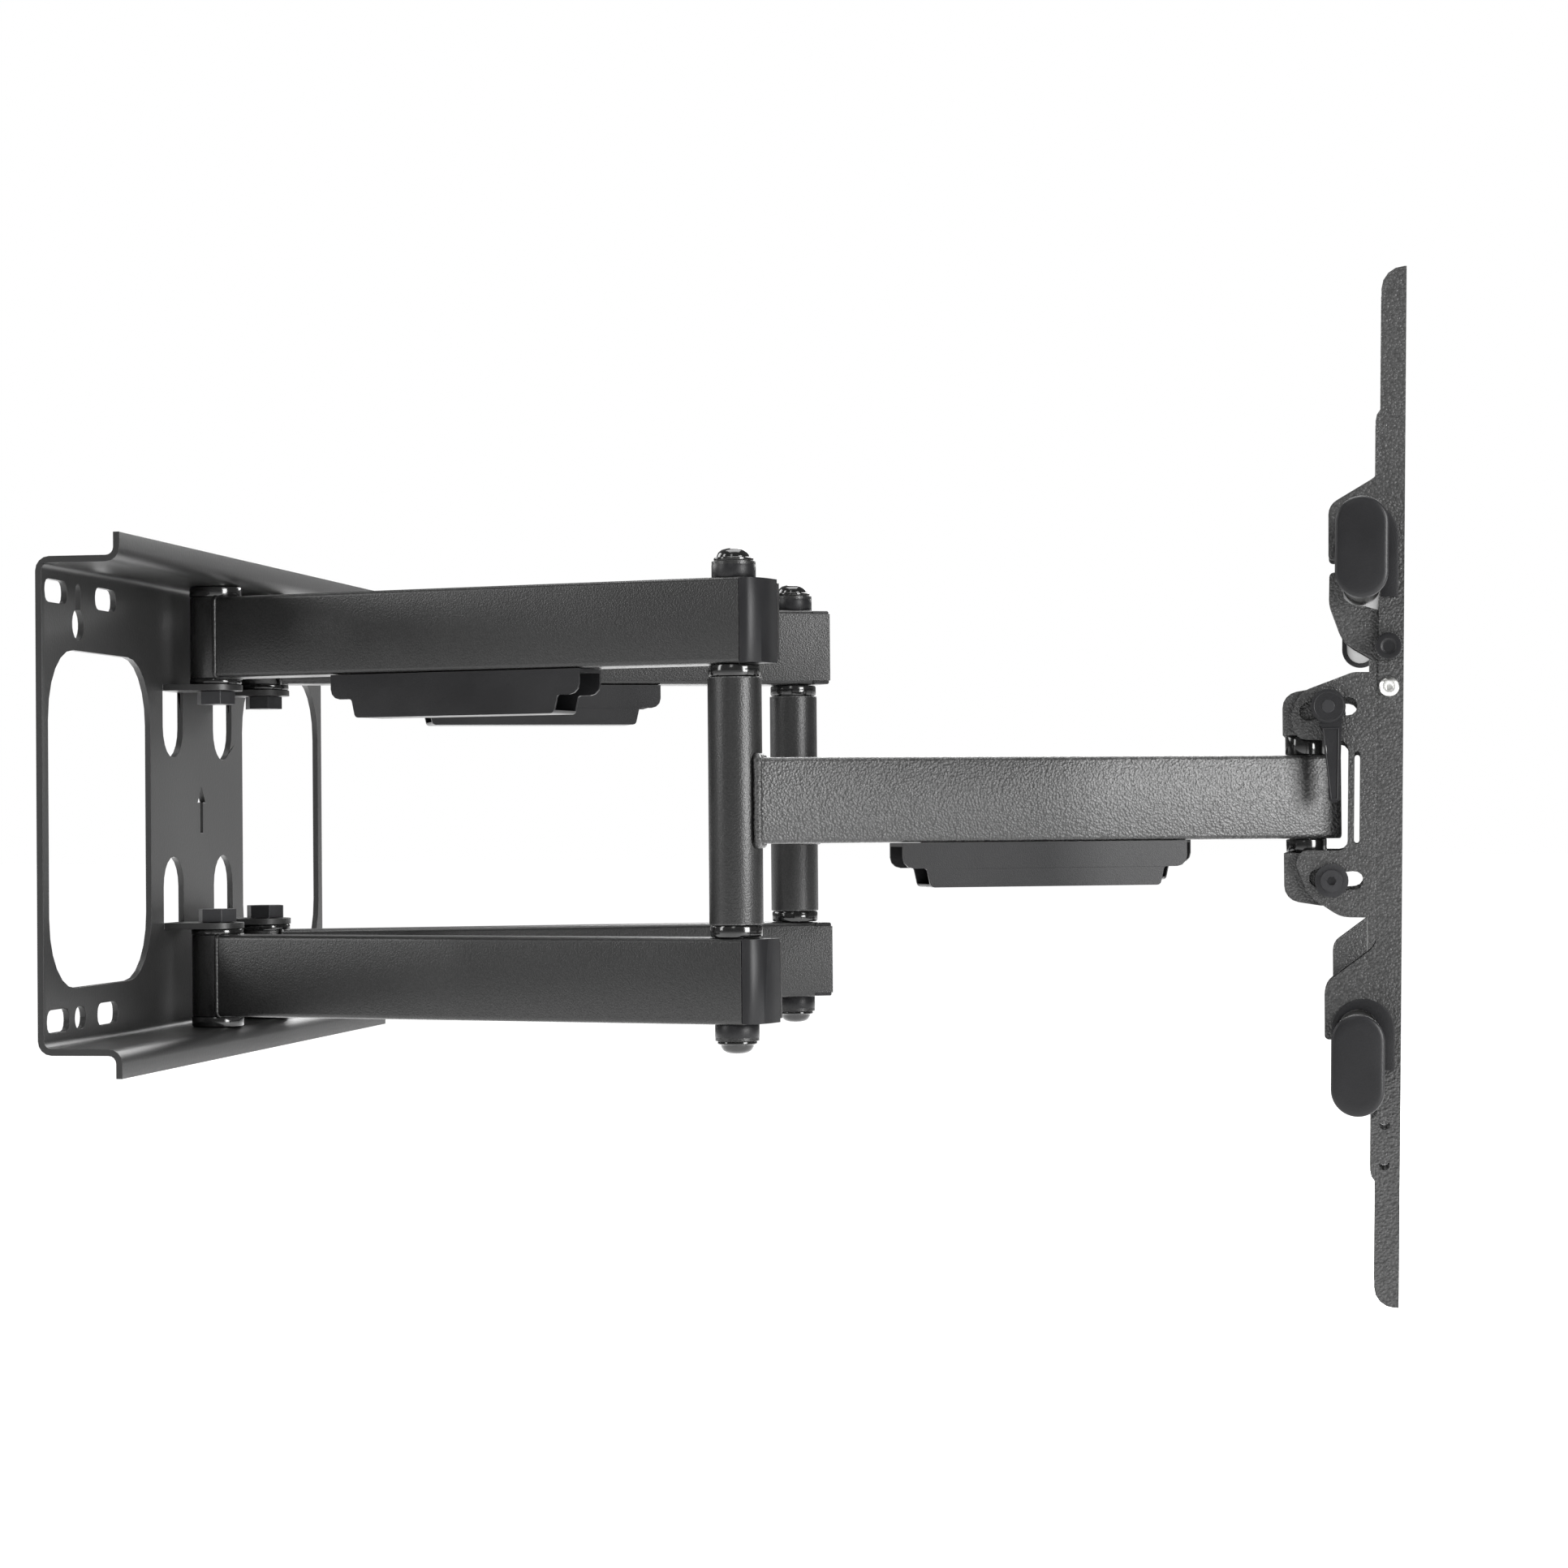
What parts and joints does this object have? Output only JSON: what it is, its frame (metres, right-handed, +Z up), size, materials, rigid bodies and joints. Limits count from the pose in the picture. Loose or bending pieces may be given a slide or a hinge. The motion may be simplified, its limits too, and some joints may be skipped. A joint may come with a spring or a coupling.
{
  "type": "full motion TV wall mount",
  "caption": "Black full motion TV wall mount: wall plate with two folding arm pairs, a tilting head with two crossbars, and two vertical TV rails on hooks.",
  "frame": {"origin": "centre of the wall plate's back face", "axes": "+X from the wall to the TV, +Z up, +Y along the wall and the crossbars"},
  "size_m": [0.6082, 0.6706, 0.4375],
  "materials": {
    "satin_black_paint": "smooth satin powder coat",
    "textured_black_paint": "fine-textured powder coat",
    "black_plastic": "matte moulded",
    "gloss_black_plastic": "polished moulded",
    "black_steel": "black oxide",
    "bright_steel": "zinc plated"
  },
  "bodies": {
    "wall": {"wall_plate": "satin_black_paint", "pivot_spacer_upper_near": "gloss_black_plastic", "pivot_spacer_upper_far": "gloss_black_plastic", "pivot_spacer_lower_near": "gloss_black_plastic", "pivot_spacer_lower_far": "gloss_black_plastic", "pivot_bolt_upper_near": "black_steel", "pivot_bolt_upper_far": "black_steel", "pivot_bolt_lower_near": "black_steel", "pivot_bolt_lower_far": "black_steel"},
    "rear_near": {"rear_arm_upper_near": "textured_black_paint", "rear_arm_lower_near": "textured_black_paint", "arm_end_cap_upper_near": "black_plastic", "arm_end_cap_lower_near": "black_plastic", "elbow_ring_upper_near": "gloss_black_plastic", "elbow_ring_lower_near": "gloss_black_plastic", "elbow_dome_upper_near": "gloss_black_plastic", "elbow_dome_lower_near": "gloss_black_plastic", "elbow_pin_near": "black_steel", "cable_clip_rear_near": "black_plastic"},
    "fore_near": {"forearm_near": "textured_black_paint", "cable_clip_front_near": "black_plastic"},
    "rear_far": {"rear_arm_upper_far": "textured_black_paint", "rear_arm_lower_far": "textured_black_paint", "arm_end_cap_upper_far": "black_plastic", "arm_end_cap_lower_far": "black_plastic", "elbow_ring_upper_far": "gloss_black_plastic", "elbow_ring_lower_far": "gloss_black_plastic", "elbow_dome_upper_far": "gloss_black_plastic", "elbow_dome_lower_far": "gloss_black_plastic", "elbow_pin_far": "black_steel", "cable_clip_rear_far": "black_plastic"},
    "fore_far": {"forearm_far": "textured_black_paint", "cable_clip_front_far": "black_plastic"},
    "head": {"yoke_upper": "textured_black_paint", "yoke_lower": "textured_black_paint", "head_pin_near": "black_steel", "head_pin_far": "black_steel", "tilt_bolt_upper": "black_steel", "tilt_bolt_lower": "black_steel", "tilt_nut_lower": "black_steel", "head_ring_upper_near": "gloss_black_plastic", "head_ring_upper_far": "gloss_black_plastic", "head_ring_lower_near": "gloss_black_plastic", "head_ring_lower_far": "gloss_black_plastic"},
    "lever": {"clamp_lever": "black_plastic"},
    "tilt_frame": {"tilt_bracket": "textured_black_paint", "crossbar_upper": "satin_black_paint", "crossbar_lower": "satin_black_paint", "crossbar_cap_upper_near": "black_plastic", "crossbar_cap_upper_far": "black_plastic", "crossbar_cap_lower_near": "black_plastic", "crossbar_cap_lower_far": "black_plastic"},
    "rail_near": {"tv_rail_near": "textured_black_paint", "latch_screw_near": "bright_steel"},
    "rail_far": {"tv_rail_far": "textured_black_paint"},
    "latch_near": {"rail_latch_near": "textured_black_paint"},
    "knob_near": {"latch_knob_near": "black_plastic"}
  },
  "joints": [
    {"name": "fold", "type": "hinge", "parent": "wall", "child": "rear_near", "pos_m": [0.02545, -0.03876, 0], "axis": [0, 0, -1], "range_deg": [-13, 60]},
    {"name": "elbow_near", "type": "hinge", "parent": "rear_near", "child": "fore_near", "pos_m": [0.29989, -0.10907, 0], "axis": [0, 0, 1], "range_deg": [-26, 120]},
    {"name": "head_on_forearm", "type": "hinge", "parent": "fore_near", "child": "head", "pos_m": [0.56057, 0.00185, 0], "axis": [0, 0, -1], "range_deg": [-13, 60]},
    {"name": "fold_far", "type": "hinge", "parent": "wall", "child": "rear_far", "pos_m": [0.02545, 0.03876, 0], "axis": [0, 0, 1], "range_deg": [-13, 60]},
    {"name": "elbow_far", "type": "hinge", "parent": "rear_far", "child": "fore_far", "pos_m": [0.28613, 0.14968, 0], "axis": [0, 0, -1], "range_deg": [-26, 120]},
    {"name": "tilt", "type": "hinge", "parent": "head", "child": "tilt_frame", "pos_m": [0.578, 0.04061, 0], "axis": [0, -1, 0], "range_deg": [-14, 6]},
    {"name": "clamp_lever_turn", "type": "hinge", "parent": "head", "child": "lever", "pos_m": [0.5722, -0.02039, 0.0431], "axis": [0, -1, 0], "range_deg": [0, 35]},
    {"name": "rail_slide_near", "type": "slide", "parent": "tilt_frame", "child": "rail_near", "axis": [0, 1, 0], "range_m": [-0.06, 0.155]},
    {"name": "latch_turn_near", "type": "hinge", "parent": "rail_near", "child": "latch_near", "pos_m": [0.59918, -0.20899, 0.04464], "axis": [0, -1, 0], "range_deg": [0, 20]},
    {"name": "knob_turn_near", "type": "hinge", "parent": "rail_near", "child": "knob_near", "pos_m": [0.59908, -0.22539, 0.06144], "axis": [0, -1, 0], "continuous": true},
    {"name": "rail_slide_far", "type": "slide", "parent": "tilt_frame", "child": "rail_far", "axis": [0, -1, 0], "range_m": [-0.06, 0.155]}
  ],
  "couplings": [
    {"joint": "elbow_near", "follows": "fold", "ratio": 2},
    {"joint": "head_on_forearm", "follows": "fold", "ratio": 1},
    {"joint": "fold_far", "follows": "fold", "ratio": 1},
    {"joint": "elbow_far", "follows": "fold", "ratio": 2}
  ]
}
